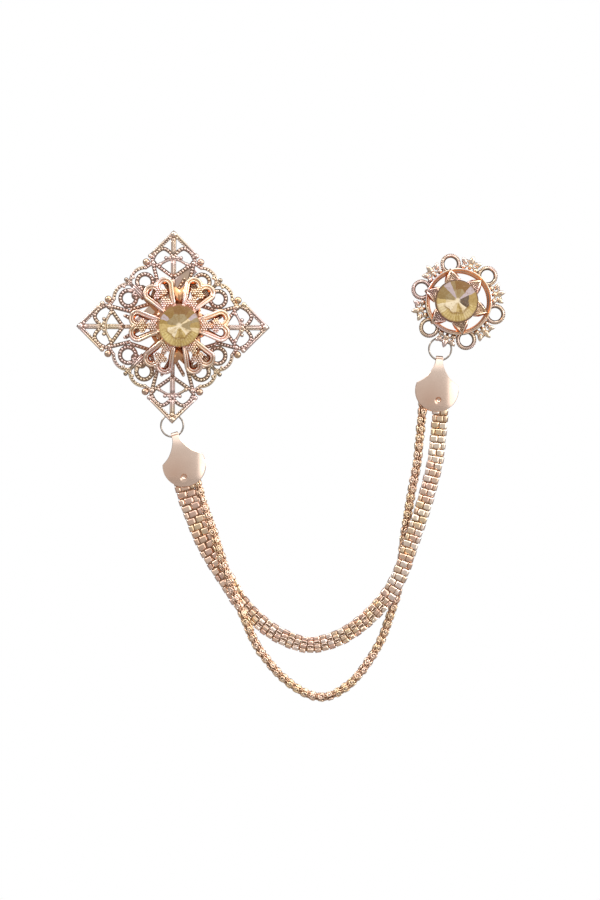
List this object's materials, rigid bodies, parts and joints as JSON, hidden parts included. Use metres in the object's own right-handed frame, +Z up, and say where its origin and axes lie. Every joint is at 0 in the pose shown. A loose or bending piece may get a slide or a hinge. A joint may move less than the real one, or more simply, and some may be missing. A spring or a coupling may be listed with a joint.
{
  "type": "lapel chain",
  "caption": "Lapel chain: a square filigree brooch with a raised flower and a small round brooch, each with a champagne stone, joined by a flat woven chain and a thin round chain.",
  "frame": {"origin": "the middle of the large brooch's pin stem, where it passes through the cloth and the whole piece hangs from", "axes": "+Z up as worn, +X from the square brooch to the round one, -Y out of the front of both brooches and +Y into the cloth"},
  "size_m": [0.1254, 0.0131, 0.1377],
  "materials": {
    "khaki_gold": "gold plate, polished on the ridges and dark in the recesses",
    "rose_gold": "polished rose gold plate",
    "chain_gold": "polished rose gold plate, dark between the links",
    "champagne_stone": "faceted and foiled",
    "ring_steel": "bright wire",
    "pin_metal": "satin plate"
  },
  "bodies": {
    "root": {"square_filigree": "khaki_gold", "flower_filigree": "rose_gold", "large_bezel": "khaki_gold", "large_stone": "champagne_stone", "large_pin": "pin_metal", "large_jump_ring": "ring_steel", "left_end_plate": "rose_gold", "flat_chain": "chain_gold", "round_chain": "chain_gold", "right_end_plate": "rose_gold", "small_jump_ring": "ring_steel", "round_filigree": "khaki_gold", "star_plate": "rose_gold", "small_bezel": "khaki_gold", "small_stone": "champagne_stone", "small_pin": "pin_metal"}
  },
  "joints": []
}
